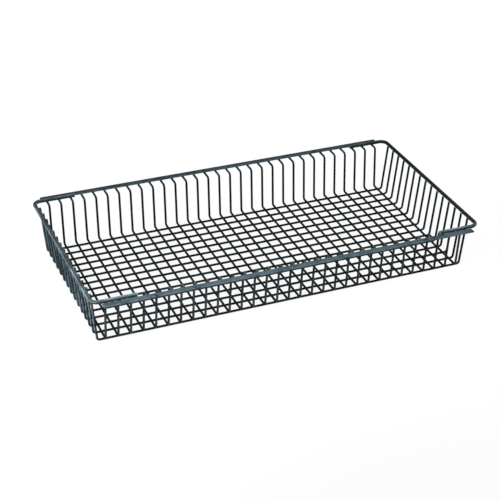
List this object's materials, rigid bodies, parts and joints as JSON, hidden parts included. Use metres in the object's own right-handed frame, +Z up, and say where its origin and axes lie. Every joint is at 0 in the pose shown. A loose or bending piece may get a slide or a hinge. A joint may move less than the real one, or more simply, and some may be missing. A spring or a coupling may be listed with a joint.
{
  "type": "wire cart basket",
  "caption": "shallow rectangular basket of dark coated welded wire mesh, open on top, with flat side strips on outward flanges and thicker round rods round both ends",
  "frame": {"origin": "middle of the basket's underside, on the plane that the undersides of the long wires stand on", "axes": "+X along the length, +Y across from the front strip to the back strip, +Z up out of the open top"},
  "size_m": [0.831, 0.4534, 0.1113],
  "materials": {
    "cross_wire_coat": "satin dark grey coat on steel wire",
    "long_wire_coat": "satin near-black coat on steel wire",
    "rim_coat": "satin blue-grey black coat on steel rod",
    "strip_coat": "satin blue-grey black coat on flat steel bar"
  },
  "bodies": {
    "root": {"cross_wire_01": "cross_wire_coat", "cross_wire_02": "cross_wire_coat", "cross_wire_03": "cross_wire_coat", "cross_wire_04": "cross_wire_coat", "cross_wire_05": "cross_wire_coat", "cross_wire_06": "cross_wire_coat", "cross_wire_07": "cross_wire_coat", "cross_wire_08": "cross_wire_coat", "cross_wire_09": "cross_wire_coat", "cross_wire_10": "cross_wire_coat", "cross_wire_11": "cross_wire_coat", "cross_wire_12": "cross_wire_coat", "cross_wire_13": "cross_wire_coat", "cross_wire_14": "cross_wire_coat", "cross_wire_15": "cross_wire_coat", "cross_wire_16": "cross_wire_coat", "cross_wire_17": "cross_wire_coat", "cross_wire_18": "cross_wire_coat", "cross_wire_19": "cross_wire_coat", "cross_wire_20": "cross_wire_coat", "cross_wire_21": "cross_wire_coat", "cross_wire_22": "cross_wire_coat", "cross_wire_23": "cross_wire_coat", "cross_wire_24": "cross_wire_coat", "cross_wire_25": "cross_wire_coat", "cross_wire_26": "cross_wire_coat", "cross_wire_27": "cross_wire_coat", "cross_wire_28": "cross_wire_coat", "cross_wire_29": "cross_wire_coat", "cross_wire_30": "cross_wire_coat", "cross_wire_31": "cross_wire_coat", "long_wire_01": "long_wire_coat", "long_wire_02": "long_wire_coat", "long_wire_03": "long_wire_coat", "long_wire_04": "long_wire_coat", "long_wire_05": "long_wire_coat", "long_wire_06": "long_wire_coat", "long_wire_07": "long_wire_coat", "long_wire_08": "long_wire_coat", "long_wire_09": "long_wire_coat", "long_wire_10": "long_wire_coat", "long_wire_11": "long_wire_coat", "long_wire_12": "long_wire_coat", "long_wire_13": "long_wire_coat", "long_wire_14": "long_wire_coat", "long_wire_15": "long_wire_coat", "end_rim_left": "rim_coat", "end_rim_right": "rim_coat", "side_strip_front": "strip_coat", "side_strip_back": "strip_coat"}
  },
  "joints": []
}
